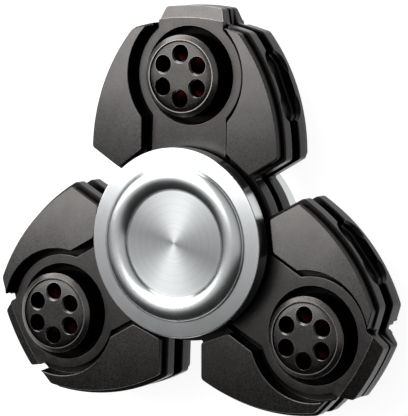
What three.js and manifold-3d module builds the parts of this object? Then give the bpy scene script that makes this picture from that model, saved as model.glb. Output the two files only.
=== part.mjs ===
// Three-armed metal fidget spinner, lying flat with its front face up.
//
// Units are millimetres, +Z up. The origin is on the spin axis at mid-thickness. Arm 1 points along +Y
// and the others follow anticlockwise, seen from the front. Front and back are alike: each side is
// drawn once in its own group, and the back group is turned half a turn about Y.
import * as THREE from "three";
import { mergeVertices } from "three/addons/utils/BufferGeometryUtils.js";
import Module from "manifold-3d";

// ---------- Driving dimensions ----------

const ARM_COUNT = 3;
const PLUG_CIRCLE_RADIUS = 20.8; // spin axis to the centre of each arm's plug
const FACET_SAG = 0.07; // largest gap between a true arc and its facets

// Heights above the mid-plane
const BODY_FACE = 2.8; // machined face of each body half
const CHANNEL_FLOOR = 1.75; // floor of the channel that the spine plate lies in
const CHEEK_TOP = 4.2;
const PLUG_TOP = 5.4;

// Body halves, seen from the front, with one arm pointing up
const HUB_MARGIN = 0.6; // hub radius beyond the finger cap's
const FLANK_RADIUS = 24.53; // outer flank of an arm
const FLANK_CENTRE_ACROSS = 10.77; // its centre, beyond the arm's axis
const FLANK_CENTRE_DROP = 9.91; // and below the plug's centre
const HEEL_ANGLE = THREE.MathUtils.degToRad(45.5); // where a heel leaves the hub, off the arm's axis
const HEEL_SLOPE = THREE.MathUtils.degToRad(31);
const HEEL_ROUND = 0.6;
const HEEL_STEPS = 4; // facets round the heel's corner
const SHOULDER_REACH = 6.9; // plug centre to the arm's shoulder
const LUG_REACH = 8.7; // plug centre to the tip of the end lug
const LUG_BASE_HALF = 4.6;
const LUG_TIP_HALF = 3.95;

// Seam between the halves
const PARTING_GAP = 0.05;
const ARM_SEAM_HALF = 1.0; // half the seam's height along the arms
const NECK_SEAM_HALF = 0.7; // round the hub
const LUG_SEAM_HALF = 0.25; // across the end lug
const SEAM_DEPTH = 1.2;

// Long pocket in each flank, across the seam
const SLOT_LENGTH = 9.4;
const SLOT_HEIGHT = 4.1;
const SLOT_DEPTH = 1.35;
const SLOT_ANGLE = THREE.MathUtils.degToRad(22); // its middle, round the flank's arc

// Spine plates and cheek plates
const SPINE_HALF = 5.25;
const SPINE_LOBE = 7.35; // radius round the plug
const SPINE_TUCK = 0.1; // how far the spine reaches under the cap's edge
const GROOVE = 0.8; // between a spine and its cheeks
const TIP_BEVEL = 1.5; // length of the sloping end of the lug
const TIP_STEP = 0.25; // drop at the start of that slope
const TIP_DROP = 0.85; // drop at its end
const LEDGE = 0.75; // body shows this far outside the cheeks along the flank and heel
const CHEEK_END_LEDGE = 0.25; // and at the arm's shoulder
const CAP_CLEARANCE = 0.9; // from the cap to the cheeks
const SEAT_GAP = 0.05; // under a plate that lies on another piece

// Plug at the middle of each arm: ring, six-hole grille and the sleeve that both rings clamp
const PLUG_RADIUS = 5.15;
const PLUG_MOAT = 0.85; // open gap round the plug
const MOAT_FLOOR = 1.1;
const RING_RIM = 0.77; // width of the ring round the grille
const GRILLE_THICKNESS = 0.9;
const GRILLE_DOME = 0.25; // height of the dome above its rim
const GRILLE_CROWN = 1.7; // radius of the dome's flat middle
const GRILLE_HOLES = 6;
const GRILLE_HOLE_RADIUS = 0.98;
const GRILLE_HOLE_CIRCLE = 2.89;
const RING_CHAMFER = 0.35;
const RING_WALL = 0.5; // wall of the ring round the sleeve
const SLEEVE_WALL = 0.65;
const SLEEVE_WEB_HALF = 2.6; // half the thickness of the sleeve's closed middle
const FIT = 0.1; // radial clearance of a turned piece in its seat

// Finger caps
const CAP_RADIUS = 12;
const CAP_UNDERSIDE = 3.65;
const CAP_FLANGE = 5.93; // flat flange round the bead
const CAP_EDGE = 0.2; // chamfer of the rim
const CAP_PAD = 6.1; // flat middle that a finger holds
const CAP_PAD_RADIUS = 6.63;
const BEAD_OUTER = 9.9;
const BEAD_HEIGHT = 0.97;
const BEAD_STEPS = 6;
const STUD_RADIUS = 1.5;
const STUD_HALF = 4.5;
const STUD_FIT = 0.1;
const STEM_GAP = 0.15; // from the mid-plane to the end of each cap's stem

// Ball bearing: 1/4 x 1/2 x 3/16 inch
const BEARING_BORE = 3.175;
const BEARING_OUTER = 6.35;
const BEARING_HALF = 2.38;
const BALL_RADIUS = 0.794;
const BALL_COUNT = 10;
const BALL_MERIDIANS = 8;
const BALL_PARALLELS = 6;
const BALL_PITCH = 4.76;
const BALL_PLAY = 0.08;
const LAND_OFFSET = 0.64; // from the pitch circle to each race's land
const RACE_CHAMFER = 0.2;
const RACE_STEPS = 30; // facets round a race, fine enough for the play
const GROOVE_STEPS = 3;
const BEARING_LIP = 0.45; // the body's lip over the outer race
const BEARING_FIT = 0.1;
const CAGE_INSET = 0.14; // from each land to the cage
const CAGE_THICKNESS = 0.4;
const CAGE_BAR = 1.0; // width of a bar between balls
const CAGE_BAR_REACH = 0.35; // how far a bar passes the balls' centres

// ---------- Sizes that follow ----------

const HUB_RADIUS = CAP_RADIUS + HUB_MARGIN;
const SPINE_END_RADIUS = CAP_RADIUS - SPINE_TUCK;
const CHANNEL_END_RADIUS = SPINE_END_RADIUS - GROOVE;
const CHANNEL_HALF = SPINE_HALF + GROOVE;
const CHANNEL_LOBE = SPINE_LOBE + GROOVE;
const SHOULDER_RADIUS = PLUG_CIRCLE_RADIUS + SHOULDER_REACH;
const LUG_RADIUS = PLUG_CIRCLE_RADIUS + LUG_REACH;
const MOAT_RADIUS = PLUG_RADIUS + PLUG_MOAT;
const GRILLE_RADIUS = PLUG_RADIUS - RING_RIM;
const SLEEVE_RADIUS = PLUG_RADIUS - RING_WALL - FIT;
const GRILLE_SEAT = PLUG_TOP - GRILLE_DOME - GRILLE_THICKNESS;
const SLEEVE_END = GRILLE_SEAT - SEAT_GAP;
const LIP_RADIUS = BEARING_OUTER - BEARING_LIP;
const INNER_LAND = BALL_PITCH - LAND_OFFSET;
const OUTER_LAND = BALL_PITCH + LAND_OFFSET;
const OVERCUT = 1; // how far cutters stand clear of what they cut

const PLUG_CENTRE = new THREE.Vector2(0, PLUG_CIRCLE_RADIUS);
const FLANK_CENTRE = new THREE.Vector2(-FLANK_CENTRE_ACROSS, PLUG_CIRCLE_RADIUS - FLANK_CENTRE_DROP);
const HEEL_ALONG = new THREE.Vector2(Math.cos(HEEL_SLOPE), Math.sin(HEEL_SLOPE));
const HEEL_OUT = new THREE.Vector2(Math.sin(HEEL_SLOPE), -Math.cos(HEEL_SLOPE));

// ---------- Materials ----------

const finish = (color, roughness) => new THREE.MeshStandardMaterial({ color, roughness, metalness: 1 });

const gunmetal = () => finish(0x3a3837, 0.5);
const cheekMetal = () => finish(0x474443, 0.5);
const darkMetal = () => finish(0x2b2a2a, 0.45);
const redMetal = () => finish(0x8a1620, 0.35);
const polishedSteel = () => finish(0xd4d6d6, 0.18);
const bearingSteel = () => finish(0xb4b6b8, 0.2);
const cageBrass = () => finish(0xb08d4a, 0.4);

// ---------- Outline helpers ----------

/** Number of facets that keeps an arc of this radius and sweep within FACET_SAG. */
function arcSteps(radius, sweep) {
  const facet = 2 * Math.acos(1 - FACET_SAG / radius);
  return Math.max(2, Math.ceil(Math.abs(sweep) / facet));
}

/** Points along an arc, both ends included; angles are anticlockwise from +X. */
function arc(centre, radius, from, to, steps = arcSteps(radius, to - from)) {
  return Array.from({ length: steps + 1 }, (_, i) => {
    const angle = THREE.MathUtils.lerp(from, to, i / steps);
    return new THREE.Vector2(centre.x + radius * Math.cos(angle), centre.y + radius * Math.sin(angle));
  });
}

/** A full circle as a closed outline. */
function circle(centre, radius) {
  return arc(centre, radius, 0, 2 * Math.PI).slice(0, -1);
}

/** Direction from one point to another, anticlockwise from +X. */
const bearingOf = (centre, point) => Math.atan2(point.y - centre.y, point.x - centre.x);

/** The point where the line through a point leaves a circle, going the given way. */
function rayOut(origin, direction, centre, radius) {
  const along = direction.clone().normalize();
  const toCentre = centre.clone().sub(origin);
  const reach = toCentre.dot(along);
  const offset = toCentre.lengthSq() - reach * reach;
  return origin.clone().addScaledVector(along, reach + Math.sqrt(radius * radius - offset));
}

/** The crossing of two circles that lies to the right of the line from the first centre to the second. */
function crossing(centreA, radiusA, centreB, radiusB) {
  const apart = centreA.distanceTo(centreB);
  const along = (apart * apart + radiusA * radiusA - radiusB * radiusB) / (2 * apart);
  const across = Math.sqrt(radiusA * radiusA - along * along);
  const direction = centreB.clone().sub(centreA).divideScalar(apart);
  const right = new THREE.Vector2(direction.y, -direction.x);
  return centreA.clone().addScaledVector(direction, along).addScaledVector(right, across);
}

/** Close a half-outline that runs up the right of the Y axis with its mirror image. */
function mirrored(half) {
  const left = half.filter((p) => p.x > 0).map((p) => new THREE.Vector2(-p.x, p.y));
  return [...half, ...left.reverse()];
}

// ---------- Solid helpers ----------

const wasm = await Module();
wasm.setup();

/** Weld a closed geometry and hand it to manifold-3d. */
function toSolid(geometry) {
  const bare = geometry.clone();
  bare.deleteAttribute("normal");
  bare.deleteAttribute("uv");
  const welded = mergeVertices(bare);
  const corners = welded.index.array;
  const triVerts = [];
  for (let i = 0; i < corners.length; i += 3) {
    const [a, b, c] = corners.slice(i, i + 3);
    if (a !== b && b !== c && c !== a) triVerts.push(a, b, c);
  }
  const mesh = new wasm.Mesh({
    numProp: 3,
    vertProperties: welded.attributes.position.array,
    triVerts: Uint32Array.from(triVerts),
  });
  return new wasm.Manifold(mesh);
}

/** Bring a solid back as a three.js geometry. */
function toGeometry(solid) {
  const { vertProperties, triVerts } = solid.getMesh();
  const geometry = new THREE.BufferGeometry();
  geometry.setAttribute("position", new THREE.BufferAttribute(vertProperties, 3));
  geometry.setIndex(new THREE.BufferAttribute(triVerts, 1));
  geometry.computeVertexNormals();
  return geometry;
}

/** A plate with the given outline and round holes, from one height to another. */
function plate(outline, from, to, holes = []) {
  const shape = new THREE.Shape(outline);
  shape.holes = holes.map((hole) => new THREE.Path(hole));
  const geometry = new THREE.ExtrudeGeometry(shape, { depth: to - from, bevelEnabled: false });
  return geometry.translate(0, 0, from);
}

/** A body turned about Z from [radius, height] pairs, listed with the material on their left. */
function turned(profile, steps = arcSteps(Math.max(...profile.map(([radius]) => radius)), 2 * Math.PI)) {
  const points = profile.map(([radius, height]) => new THREE.Vector2(radius, height));
  return new THREE.LatheGeometry(points, steps).rotateX(Math.PI / 2);
}

/** A turned ring: the profile closes on itself. */
const turnedRing = (profile, steps) => turned([...profile, profile[0]], steps);

const disc = (radius, from, to) => plate(circle(new THREE.Vector2(), radius), from, to);
const joined = (solids) => solids.reduce((whole, next) => whole.add(next));
const without = (solid, cutters) => solid.subtract(joined(cutters));

/** The same geometry on every arm, as solids. */
function onEveryArm(geometry) {
  return Array.from({ length: ARM_COUNT }, (_, arm) => toSolid(geometry.clone().rotateZ(armAngle(arm))));
}

const armAngle = (arm) => (arm * 2 * Math.PI) / ARM_COUNT;

// ---------- Outlines of one arm ----------

/** A point on the heel's straight edge, set in from the body's outline. */
function heelPoint(inset) {
  const radius = CAP_RADIUS + CAP_CLEARANCE;
  const corner = new THREE.Vector2(radius * Math.sin(HEEL_ANGLE), radius * Math.cos(HEEL_ANGLE));
  return corner.addScaledVector(HEEL_OUT, LEDGE - inset);
}

/** The heel's outer corner and the flank above it, rounded into each other, up to a given end point. */
function heelAndFlank(inset, end) {
  const radius = FLANK_RADIUS - inset;
  const corner = rayOut(heelPoint(inset), HEEL_ALONG, FLANK_CENTRE, radius);
  const cornerAngle = bearingOf(FLANK_CENTRE, corner);
  const turn = Math.PI / 2 + cornerAngle - HEEL_SLOPE;
  const setback = HEEL_ROUND * Math.tan(turn / 2);
  const tangent = corner.clone().addScaledVector(HEEL_ALONG, -setback);
  const centre = tangent.addScaledVector(HEEL_OUT, -HEEL_ROUND);
  const start = HEEL_SLOPE - Math.PI / 2;
  const round = arc(centre, HEEL_ROUND, start, start + turn, HEEL_STEPS);
  const flankStart = cornerAngle + setback / radius;
  return [...round, ...arc(FLANK_CENTRE, radius, flankStart, bearingOf(FLANK_CENTRE, end))];
}

/** Right half of the end lug, from its foot to the arm's axis. */
function lugHalf(inset, foot) {
  const tipHalf = LUG_TIP_HALF - inset;
  const tipRadius = LUG_RADIUS - inset;
  const origin = new THREE.Vector2();
  return [foot, ...arc(origin, tipRadius, Math.acos(tipHalf / tipRadius), Math.PI / 2)];
}

/** One arm of the body, set in from its outer edge; it starts at the spin axis, inside the hub. */
function armOutline(inset) {
  const origin = new THREE.Vector2();
  const shoulderRadius = SHOULDER_RADIUS - inset;
  const flankEnd = crossing(origin, shoulderRadius, FLANK_CENTRE, FLANK_RADIUS - inset);
  const hubEnd = rayOut(heelPoint(inset), HEEL_ALONG, origin, HUB_RADIUS - SEAM_DEPTH - OVERCUT);
  const footHalf = LUG_BASE_HALF - inset;
  const foot = new THREE.Vector2(footHalf, Math.sqrt(shoulderRadius ** 2 - footHalf ** 2));
  const shoulder = arc(origin, shoulderRadius, bearingOf(origin, flankEnd), bearingOf(origin, foot));
  const side = [...heelAndFlank(inset, flankEnd), ...shoulder.slice(1, -1), ...lugHalf(inset, foot)];
  return mirrored([origin, hubEnd, ...side]);
}

/** Straight-sided strip from an arc round the spin axis to a round lobe about the plug: right half. */
function stripToLobe(half, lobe, startRadius, endHalf) {
  const origin = new THREE.Vector2();
  const start = Math.acos(half / startRadius);
  const kink = Math.acos(half / lobe);
  return [
    ...arc(origin, startRadius, Math.PI / 2, start),
    ...arc(PLUG_CENTRE, lobe, -kink, Math.acos(endHalf / lobe)),
  ];
}

/** Outline of a spine plate: strip, lobe and the lug's end. */
function spineOutline() {
  const foot = new THREE.Vector2(LUG_BASE_HALF, Math.sqrt(SHOULDER_RADIUS ** 2 - LUG_BASE_HALF ** 2));
  const strip = stripToLobe(SPINE_HALF, SPINE_LOBE, SPINE_END_RADIUS, LUG_BASE_HALF);
  return mirrored([...strip, ...lugHalf(0, foot)]);
}

/** Outline of the channel that takes the spine plate, open past the lug. */
function channelOutline() {
  const openHalf = LUG_BASE_HALF + GROOVE;
  const end = LUG_RADIUS + OVERCUT;
  const strip = stripToLobe(CHANNEL_HALF, CHANNEL_LOBE, CHANNEL_END_RADIUS, openHalf);
  return mirrored([...strip, new THREE.Vector2(openHalf, end), new THREE.Vector2(0, end)]);
}

/** Outline of the right-hand cheek plate. */
function cheekOutline() {
  const origin = new THREE.Vector2();
  const cornerY = Math.sqrt((CAP_RADIUS + CAP_CLEARANCE) ** 2 - CHANNEL_HALF ** 2);
  const endRadius = SHOULDER_RADIUS - CHEEK_END_LEDGE;
  const flankEnd = crossing(origin, endRadius, FLANK_CENTRE, FLANK_RADIUS - LEDGE);
  const tip = crossing(origin, endRadius, PLUG_CENTRE, CHANNEL_LOBE);
  const kink = Math.acos(CHANNEL_HALF / CHANNEL_LOBE);
  const inner = arc(PLUG_CENTRE, CHANNEL_LOBE, bearingOf(PLUG_CENTRE, tip), -kink);
  const corner = new THREE.Vector2(CHANNEL_HALF, cornerY);
  return [corner, heelPoint(LEDGE), ...heelAndFlank(LEDGE, flankEnd), ...inner];
}

// ---------- Body halves ----------

/** Cutter for the long pocket in the right flank of arm 1, across both halves. */
function slotCutter() {
  const end = SLOT_HEIGHT / 2;
  const straight = SLOT_LENGTH / 2 - end;
  const outline = [
    ...arc(new THREE.Vector2(straight, 0), end, -Math.PI / 2, Math.PI / 2),
    ...arc(new THREE.Vector2(-straight, 0), end, Math.PI / 2, (3 * Math.PI) / 2),
  ];
  const cutter = plate(outline, FLANK_RADIUS - SLOT_DEPTH, FLANK_RADIUS + OVERCUT);
  cutter.rotateX(Math.PI / 2).rotateZ(Math.PI / 2 + SLOT_ANGLE);
  return cutter.translate(FLANK_CENTRE.x, FLANK_CENTRE.y, 0);
}

/** The front body half, with seats for the bearing, plugs and spine plates. */
function bodyHalf() {
  const web = armOutline(SEAM_DEPTH);
  const parting = PARTING_GAP / 2;
  const lugFootY = SHOULDER_RADIUS - SEAM_DEPTH - OVERCUT;
  const lug = mirrored(lugHalf(0, new THREE.Vector2(LUG_BASE_HALF, lugFootY)));
  const blank = joined([
    toSolid(disc(HUB_RADIUS, NECK_SEAM_HALF, BODY_FACE)),
    toSolid(disc(HUB_RADIUS - SEAM_DEPTH, parting, NECK_SEAM_HALF + SEAT_GAP)),
    ...onEveryArm(plate(armOutline(0), ARM_SEAM_HALF, BODY_FACE)),
    ...onEveryArm(plate(web, parting, ARM_SEAM_HALF + SEAT_GAP)),
    ...onEveryArm(plate(lug, LUG_SEAM_HALF, ARM_SEAM_HALF + SEAT_GAP)),
  ]);
  const top = BODY_FACE + OVERCUT;
  const slot = slotCutter();
  return without(blank, [
    toSolid(disc(BEARING_OUTER + BEARING_FIT, -OVERCUT, BEARING_HALF + SEAT_GAP)),
    toSolid(disc(LIP_RADIUS, 0, top)),
    ...onEveryArm(plate(channelOutline(), CHANNEL_FLOOR, top)),
    ...onEveryArm(plate(circle(PLUG_CENTRE, MOAT_RADIUS), MOAT_FLOOR, top)),
    ...onEveryArm(plate(circle(PLUG_CENTRE, SLEEVE_RADIUS + FIT), -OVERCUT, top)),
    ...onEveryArm(slot),
    ...onEveryArm(slot.clone().rotateY(Math.PI)),
  ]);
}

/** A spine plate, with the hole round the plug and the sloping end of the lug. */
function spinePlate() {
  const hole = circle(PLUG_CENTRE, MOAT_RADIUS);
  const body = toSolid(plate(spineOutline(), CHANNEL_FLOOR + SEAT_GAP, BODY_FACE, [hole]));
  const start = LUG_RADIUS - TIP_BEVEL;
  const bevel = turnedRing([
    [start, BODY_FACE - TIP_STEP],
    [LUG_RADIUS + OVERCUT, BODY_FACE - TIP_DROP],
    [LUG_RADIUS + OVERCUT, BODY_FACE + OVERCUT],
    [start, BODY_FACE + OVERCUT],
  ]);
  return without(body, [toSolid(bevel)]);
}

// ---------- Plugs ----------

/** The ring that stands in the arm's moat and frames the grille. */
function plugRing() {
  const top = PLUG_TOP - GRILLE_DOME;
  const bore = SLEEVE_RADIUS + FIT;
  return turnedRing([
    [bore, MOAT_FLOOR + SEAT_GAP],
    [PLUG_RADIUS, MOAT_FLOOR + SEAT_GAP],
    [PLUG_RADIUS, top - RING_CHAMFER],
    [PLUG_RADIUS - RING_CHAMFER, top],
    [GRILLE_RADIUS + FIT, top],
    [GRILLE_RADIUS + FIT, GRILLE_SEAT - SEAT_GAP],
    [bore, GRILLE_SEAT - SEAT_GAP],
  ]);
}

/** The slightly domed grille with six holes, one of them pointing away from the hub. */
function grille() {
  const rim = GRILLE_SEAT + GRILLE_THICKNESS;
  const blank = turned([
    [0, GRILLE_SEAT],
    [GRILLE_RADIUS, GRILLE_SEAT],
    [GRILLE_RADIUS, rim],
    [GRILLE_CROWN, PLUG_TOP],
    [0, PLUG_TOP],
  ]);
  const holes = Array.from({ length: GRILLE_HOLES }, (_, i) => {
    const angle = Math.PI / 2 + (i * 2 * Math.PI) / GRILLE_HOLES;
    const centre = new THREE.Vector2(Math.cos(angle), Math.sin(angle)).multiplyScalar(GRILLE_HOLE_CIRCLE);
    return toSolid(plate(circle(centre, GRILLE_HOLE_RADIUS), GRILLE_SEAT - OVERCUT, PLUG_TOP + OVERCUT));
  });
  return without(toSolid(blank), holes);
}

/** The red sleeve through both halves, closed across its middle. */
function sleeve() {
  const bore = SLEEVE_RADIUS - SLEEVE_WALL;
  return turned([
    [0, -SLEEVE_WEB_HALF],
    [bore, -SLEEVE_WEB_HALF],
    [bore, -SLEEVE_END],
    [SLEEVE_RADIUS, -SLEEVE_END],
    [SLEEVE_RADIUS, SLEEVE_END],
    [bore, SLEEVE_END],
    [bore, SLEEVE_WEB_HALF],
    [0, SLEEVE_WEB_HALF],
  ]);
}

// ---------- Finger caps ----------

/** A finger cap: pad, bead, flange and the stem that fills half of the bearing's bore. */
function fingerCap() {
  const studBore = STUD_RADIUS + STUD_FIT;
  const beadMiddle = (BEAD_OUTER + CAP_PAD_RADIUS) / 2;
  const beadHalf = (BEAD_OUTER - CAP_PAD_RADIUS) / 2;
  const bead = arc(new THREE.Vector2(), 1, 0, Math.PI, BEAD_STEPS).slice(0, -1).map((p) => {
    return [beadMiddle + beadHalf * p.x, CAP_FLANGE + BEAD_HEIGHT * p.y];
  });
  return turned([
    [0, STUD_HALF + STUD_FIT],
    [studBore, STUD_HALF + STUD_FIT],
    [studBore, STEM_GAP],
    [BEARING_BORE - BEARING_FIT, STEM_GAP],
    [BEARING_BORE - BEARING_FIT, BEARING_HALF + SEAT_GAP],
    [INNER_LAND - RACE_CHAMFER, BEARING_HALF + SEAT_GAP],
    [INNER_LAND - RACE_CHAMFER, CAP_UNDERSIDE],
    [CAP_RADIUS - CAP_EDGE, CAP_UNDERSIDE],
    [CAP_RADIUS, CAP_UNDERSIDE + CAP_EDGE],
    [CAP_RADIUS, CAP_FLANGE - CAP_EDGE],
    [CAP_RADIUS - CAP_EDGE, CAP_FLANGE],
    ...bead,
    [CAP_PAD_RADIUS, CAP_PAD],
    [0, CAP_PAD],
  ]);
}

// ---------- Bearing ----------

/** A race; side is 1 for the outer race and -1 for the inner one. */
function race(side, back, land) {
  const groove = BALL_RADIUS + BALL_PLAY;
  const edge = Math.acos(LAND_OFFSET / groove);
  const facing = side > 0 ? 0 : Math.PI;
  const seat = arc(new THREE.Vector2(BALL_PITCH, 0), groove, facing - edge, facing + edge, GROOVE_STEPS);
  const path = seat.map((p) => [p.x, p.y]).reverse();
  const corner = back - side * RACE_CHAMFER;
  const shell = [
    [corner, -side * BEARING_HALF],
    [back, -side * (BEARING_HALF - RACE_CHAMFER)],
    [back, side * (BEARING_HALF - RACE_CHAMFER)],
    [corner, side * BEARING_HALF],
  ];
  const inner = [[land, side * BEARING_HALF], ...path, [land, -side * BEARING_HALF]];
  return turnedRing([...shell, ...inner], RACE_STEPS);
}

/** The crown cage: a ring beside the balls with a bar between each two. */
function cage() {
  const inner = INNER_LAND + CAGE_INSET;
  const outer = OUTER_LAND - CAGE_INSET;
  const ringFrom = BALL_RADIUS + BALL_PLAY;
  const ring = turnedRing([
    [inner, ringFrom],
    [outer, ringFrom],
    [outer, ringFrom + CAGE_THICKNESS],
    [inner, ringFrom + CAGE_THICKNESS],
  ]);
  const height = ringFrom + CAGE_THICKNESS / 2 + CAGE_BAR_REACH;
  const bar = new THREE.BoxGeometry(outer - inner - 2 * CAGE_INSET, CAGE_BAR, height);
  bar.translate(BALL_PITCH, 0, height / 2 - CAGE_BAR_REACH);
  const bars = Array.from({ length: BALL_COUNT }, (_, i) => {
    return toSolid(bar.clone().rotateZ(ballAngle(i + 0.5)));
  });
  return joined([toSolid(ring), ...bars]);
}

const ballAngle = (i) => (i * 2 * Math.PI) / BALL_COUNT;

// ---------- Assembly ----------

/** Name a mesh and put it in a parent. */
function addPart(parent, name, geometry, material) {
  const mesh = new THREE.Mesh(geometry, material);
  mesh.name = name;
  parent.add(mesh);
  return mesh;
}

const spinner = new THREE.Group();

const bodyGeometry = toGeometry(bodyHalf());
const spineGeometry = toGeometry(spinePlate());
const grilleGeometry = toGeometry(grille());
const ringGeometry = plugRing();
const capGeometry = fingerCap();
const rightCheek = cheekOutline();
const leftCheek = rightCheek.map((p) => new THREE.Vector2(-p.x, p.y)).reverse();
const cheeks = { right: rightCheek, left: leftCheek };

for (const side of ["front", "back"]) {
  const facing = new THREE.Group();
  facing.rotation.y = side === "back" ? Math.PI : 0;
  spinner.add(facing);
  addPart(facing, `${side}_cap`, capGeometry, polishedSteel());
  addPart(facing, `${side}_body`, bodyGeometry, gunmetal());
  for (let arm = 0; arm < ARM_COUNT; arm += 1) {
    const group = new THREE.Group();
    group.rotation.z = side === "back" ? -armAngle(arm) : armAngle(arm);
    facing.add(group);
    const label = `${side}_arm${arm + 1}`;
    addPart(group, `${label}_spine`, spineGeometry, gunmetal());
    for (const [hand, outline] of Object.entries(cheeks)) {
      const cheek = plate(outline, BODY_FACE + SEAT_GAP, CHEEK_TOP);
      addPart(group, `${label}_cheek_${hand}`, cheek, cheekMetal());
    }
    addPart(group, `${label}_plug_ring`, ringGeometry, darkMetal()).position.y = PLUG_CIRCLE_RADIUS;
    addPart(group, `${label}_grille`, grilleGeometry, gunmetal()).position.y = PLUG_CIRCLE_RADIUS;
  }
}

for (let arm = 0; arm < ARM_COUNT; arm += 1) {
  const group = new THREE.Group();
  group.rotation.z = armAngle(arm);
  spinner.add(group);
  addPart(group, `arm${arm + 1}_sleeve`, sleeve(), redMetal()).position.y = PLUG_CIRCLE_RADIUS;
}

addPart(spinner, "cap_stud", disc(STUD_RADIUS, -STUD_HALF, STUD_HALF), bearingSteel());
addPart(spinner, "outer_race", race(1, BEARING_OUTER, OUTER_LAND), bearingSteel());
addPart(spinner, "inner_race", race(-1, BEARING_BORE, INNER_LAND), bearingSteel());
addPart(spinner, "ball_cage", toGeometry(cage()), cageBrass());
for (let i = 0; i < BALL_COUNT; i += 1) {
  const sphere = new THREE.SphereGeometry(BALL_RADIUS, BALL_MERIDIANS, BALL_PARALLELS);
  const ball = addPart(spinner, `ball_${i + 1}`, sphere, bearingSteel());
  ball.position.set(BALL_PITCH * Math.cos(ballAngle(i)), BALL_PITCH * Math.sin(ballAngle(i)), 0);
}

export default spinner;
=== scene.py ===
"""Looks of a three-armed metal fidget spinner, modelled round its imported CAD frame.

Pieces are drawn in millimetres, in the frame of one upward arm or of one plug, then copied to
their places on every arm and side and brought to metres.
"""

from __future__ import annotations

import logging
import math
from dataclasses import dataclass
from enum import Enum
from typing import Callable, Sequence

import bmesh
import bpy
from mathutils import Matrix, Vector


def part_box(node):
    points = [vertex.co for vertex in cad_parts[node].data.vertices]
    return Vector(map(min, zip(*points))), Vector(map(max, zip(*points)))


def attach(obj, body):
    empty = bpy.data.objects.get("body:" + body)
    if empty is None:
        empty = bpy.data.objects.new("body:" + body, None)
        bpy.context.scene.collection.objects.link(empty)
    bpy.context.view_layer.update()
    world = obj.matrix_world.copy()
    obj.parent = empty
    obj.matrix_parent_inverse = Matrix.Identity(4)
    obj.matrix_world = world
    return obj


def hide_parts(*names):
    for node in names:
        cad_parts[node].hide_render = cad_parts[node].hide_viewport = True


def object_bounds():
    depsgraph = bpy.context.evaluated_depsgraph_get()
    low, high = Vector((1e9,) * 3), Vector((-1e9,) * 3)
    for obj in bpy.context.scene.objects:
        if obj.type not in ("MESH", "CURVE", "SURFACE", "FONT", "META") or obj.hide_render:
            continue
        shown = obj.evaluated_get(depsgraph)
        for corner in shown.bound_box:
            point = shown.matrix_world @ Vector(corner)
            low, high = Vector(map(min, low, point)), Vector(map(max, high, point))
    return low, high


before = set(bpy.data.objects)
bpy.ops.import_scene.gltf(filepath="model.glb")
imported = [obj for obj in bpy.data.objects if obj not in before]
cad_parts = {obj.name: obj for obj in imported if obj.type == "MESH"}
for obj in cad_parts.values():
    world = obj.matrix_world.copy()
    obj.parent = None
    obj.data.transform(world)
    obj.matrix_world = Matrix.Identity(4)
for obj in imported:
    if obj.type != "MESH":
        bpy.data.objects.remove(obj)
CAD_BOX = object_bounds()

Piece = bpy.types.Object
Material = bpy.types.Material
Tree = bpy.types.NodeTree
Socket = bpy.types.NodeSocket
Outline = Sequence[Vector]  # closed or open chain of plan points, mm
Profile = Sequence[tuple[float, float]]  # radius and height of each corner of a turned shape, mm
FaceTest = Callable[[Vector, Vector], bool]  # takes a face's normal and its middle, mm
EdgeTest = Callable[[bmesh.types.BMEdge], bool]

LOG = logging.getLogger("spinner")
MM = 0.001  # metres in a millimetre
ARM_COUNT = 3
TURN = 2 * math.pi
FINE = 0.004  # mm, largest gap between a drawn arc and the true one
OVERCUT = 1.0  # mm that a cutter stands clear of what it cuts
SAME = 1e-4  # mm, points nearer than this are one
SLACK = 0.05  # mm of slack in a test of where a face lies
SMOOTH_ANGLE = math.radians(32)  # faces that meet flatter than this are shaded as one
SHARP_TURN = math.radians(25)  # an outline that turns more than this at a corner gets it eased
EASE_SHARE = 0.45  # most of a side that easing one of its corners may take
CHORD_ENDS = (0.0, 1 / 3, 2 / 3, 1.0)  # where the chords of a small round begin and end
BEVEL_SEGMENTS = 3
ROUND_STEPS = 96  # faces round a turned hole or plug
STANDING = 0.5  # a face whose normal rises less than this stands on edge
LYING = 0.97  # a corner whose normal rises more than this is part of a plate's face
LEVEL = 0.99  # a face whose normal rises more than this is level
NOISE_MIDDLE = (0.3, 0.7)  # range that holds nearly every value of a noise
NOISE_ROUGHNESS = 0.6
MARK_DETAIL, MARK_ROUGHNESS = 3.0, 0.7  # how uneven a lathe tool's rings are
FLAT_MATCH, EDGE_MATCH = 0.998, 0.86  # how a rounded normal matches the face's, away from an edge and on it
EDGE_SAMPLES = 6  # rays that find an edge
PATCH_MM, PATCH_LEAST = 1.4, 0.35  # size of the patches of wear along an edge, and the least worn
QUARTER_TURN = 0.25  # turns that set a stretched highlight across the rings
WHITE, BLACK = (1, 1, 1, 1), (0, 0, 0, 1)
ORIGIN = Vector((0, 0))
UPPER_FACE = "upper_face"


class Side(Enum):
    """The two faces of the spinner."""

    FRONT = "front"
    BACK = "back"


class Hand(Enum):
    """Which side of an arm a cheek plate lies on, seen from its own face."""

    RIGHT = "right"
    LEFT = "left"


# ---------- Drawing aids ----------


def arc(centre: Vector, radius: float, start: float, end: float, steps: int = 0) -> list[Vector]:
    """Points along an arc, both ends included.

    Args:
        centre: Middle of the arc.
        radius: Its radius, mm.
        start: First angle, anticlockwise from +X.
        end: Last angle.
        steps: Number of chords, or 0 for as many as a smooth edge needs.

    Returns:
        The points, from start to end.
    """
    count = steps or max(2, math.ceil(abs(end - start) / (2 * math.acos(1 - FINE / radius))))
    angles = [start + (end - start) * i / count for i in range(count + 1)]
    return [Vector((centre.x + radius * math.cos(a), centre.y + radius * math.sin(a))) for a in angles]


def bearing(centre: Vector, point: Vector) -> float:
    """Direction from one point to another, anticlockwise from +X."""
    return math.atan2(point.y - centre.y, point.x - centre.x)


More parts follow.
